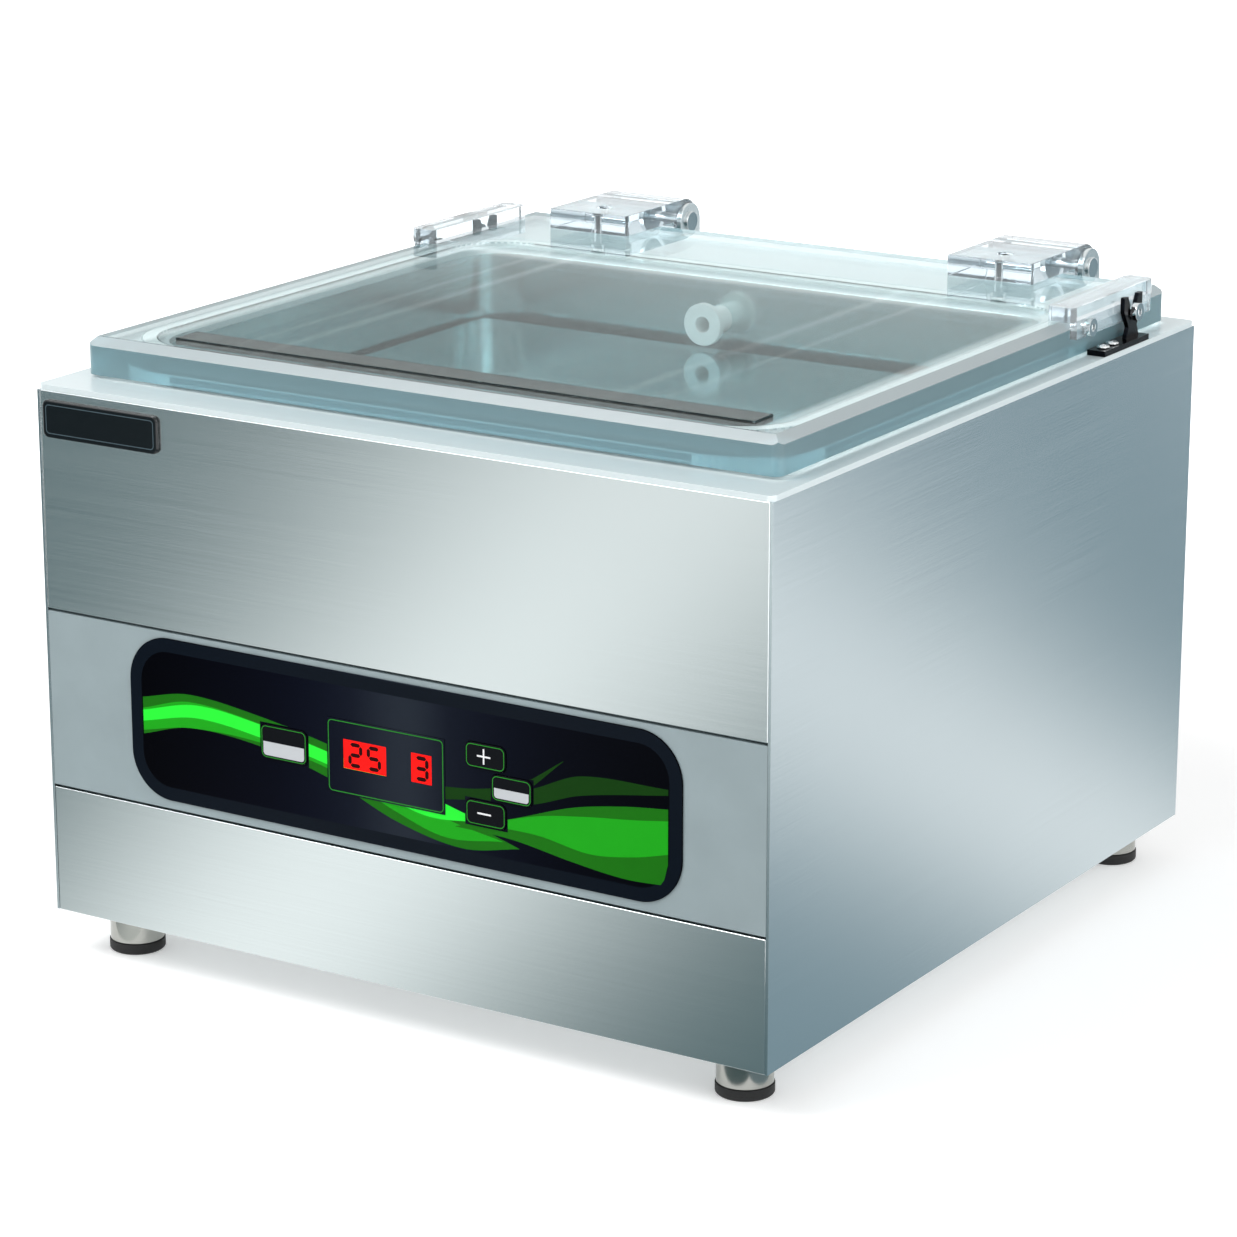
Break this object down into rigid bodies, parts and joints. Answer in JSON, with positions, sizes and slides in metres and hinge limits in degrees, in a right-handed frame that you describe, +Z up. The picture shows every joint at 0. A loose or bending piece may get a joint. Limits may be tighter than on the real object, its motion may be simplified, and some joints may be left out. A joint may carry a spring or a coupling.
{
  "type": "chamber vacuum packing machine",
  "caption": "Table-top chamber vacuum packing machine with a folded stainless case, a clear hinged lid, a lifting seal bar and a membrane control panel with a red display.",
  "frame": {"origin": "middle of the whole machine's bounding box in X and Y, at the undersides of the feet", "axes": "X to the machine's right, Y to its rear (the control panel faces -Y), Z up"},
  "size_m": [0.44, 0.486, 0.3465],
  "materials": {
    "stainless_steel": "fine-brushed stainless sheet",
    "polished_stainless": "bright, finely polished stainless sheet",
    "fascia_grey": "satin light grey painted sheet",
    "chrome": "polished chrome plate",
    "rubber": "matt black rubber",
    "white_nylon": "turned white nylon",
    "aluminium": "machined aluminium",
    "brass": "machined brass",
    "copper": "enamelled copper winding on a steel core",
    "brown_tape": "woven PTFE-coated glass tape",
    "brown_silicone": "grey-brown silicone",
    "black_plastic": "moulded black plastic",
    "clear_acrylic": "clear acrylic with polished edges",
    "white_silicone": "translucent white silicone",
    "black_steel": "black-coated steel",
    "membrane": "glossy printed polyester film",
    "display_red": "lit red display window",
    "key_cap": "embossed glossy film over a key cap",
    "board_green": "green solder mask",
    "cast_grey": "grey-painted casting",
    "filter_steel": "grey-painted steel can",
    "hose_rubber": "reinforced black rubber hose"
  },
  "bodies": {
    "case": {"base_tray": "stainless_steel", "side_panel_left": "stainless_steel", "side_panel_right": "stainless_steel", "front_panel_upper": "stainless_steel", "front_panel_lower": "stainless_steel", "rear_panel": "stainless_steel", "control_fascia": "fascia_grey", "top_plate": "polished_stainless", "foot_cups": "chrome", "foot_pads": "rubber", "chamber_tub": "polished_stainless", "product_shelf": "polished_stainless", "suction_nozzle": "white_nylon", "lift_cylinders": "aluminium", "contact_sockets": "black_plastic", "guide_bracket_left": "black_steel", "guide_bracket_right": "black_steel", "hinge_bracket_left": "stainless_steel", "hinge_bracket_right": "stainless_steel", "hinge_pins": "chrome", "case_screws": "chrome", "membrane_panel": "membrane", "display_lens": "membrane", "display_modules": "display_red", "control_board": "board_green", "badge_plate": "black_plastic", "pump_housing": "cast_grey", "pump_end_cover": "cast_grey", "motor_housing": "cast_grey", "motor_stator": "copper", "fan_cowl": "cast_grey", "pump_mounts": "rubber", "exhaust_filter": "filter_steel", "transformer": "cast_grey", "valve_block": "aluminium", "vacuum_hoses": "hose_rubber", "power_entry": "black_plastic", "gas_inlet": "brass"},
    "lid": {"lid_plate": "clear_acrylic", "lid_gasket": "white_silicone", "counter_pad": "brown_silicone", "hinge_arm_left": "clear_acrylic", "hinge_arm_right": "clear_acrylic", "clear_block_screws": "black_steel", "side_block_left": "clear_acrylic", "side_block_right": "clear_acrylic", "side_block_bolts": "chrome"},
    "seal_bar_unit": {"seal_bar": "aluminium", "heating_strip": "brass", "tape_cover": "brown_tape", "lift_rods": "chrome", "contact_posts": "brass"},
    "start_key": {"key_start": "key_cap"},
    "plus_key": {"key_plus": "key_cap"},
    "minus_key": {"key_minus": "key_cap"},
    "set_key": {"key_set": "key_cap"},
    "rocker": {"power_rocker": "black_plastic"},
    "pump_shaft": {"motor_rotor": "aluminium", "vane_rotor": "aluminium", "cooling_fan": "black_plastic"}
  },
  "joints": [
    {"name": "lid_hinge", "type": "hinge", "parent": "case", "child": "lid", "pos_m": [0, 0.23, 0.3335], "axis": [-1, 0, 0], "range_deg": [0, 65]},
    {"name": "seal_bar_lift", "type": "slide", "parent": "case", "child": "seal_bar_unit", "axis": [0, 0, 1], "range_m": [0, 0.005]},
    {"name": "start_key_press", "type": "slide", "parent": "case", "child": "start_key", "axis": [0, 1, 0], "range_m": [0, 0.0008], "stiffness_N_per_m": 1500},
    {"name": "plus_key_press", "type": "slide", "parent": "case", "child": "plus_key", "axis": [0, 1, 0], "range_m": [0, 0.0008], "stiffness_N_per_m": 1500},
    {"name": "minus_key_press", "type": "slide", "parent": "case", "child": "minus_key", "axis": [0, 1, 0], "range_m": [0, 0.0008], "stiffness_N_per_m": 1500},
    {"name": "set_key_press", "type": "slide", "parent": "case", "child": "set_key", "axis": [0, 1, 0], "range_m": [0, 0.0008], "stiffness_N_per_m": 1500},
    {"name": "power_rocker_tilt", "type": "hinge", "parent": "case", "child": "rocker", "pos_m": [-0.178, 0.22, 0.102], "axis": [1, 0, 0], "range_deg": [-20, 0]},
    {"name": "pump_shaft_spin", "type": "hinge", "parent": "case", "child": "pump_shaft", "pos_m": [0, -0.006, 0.10775], "axis": [1, 0, 0], "continuous": true}
  ]
}
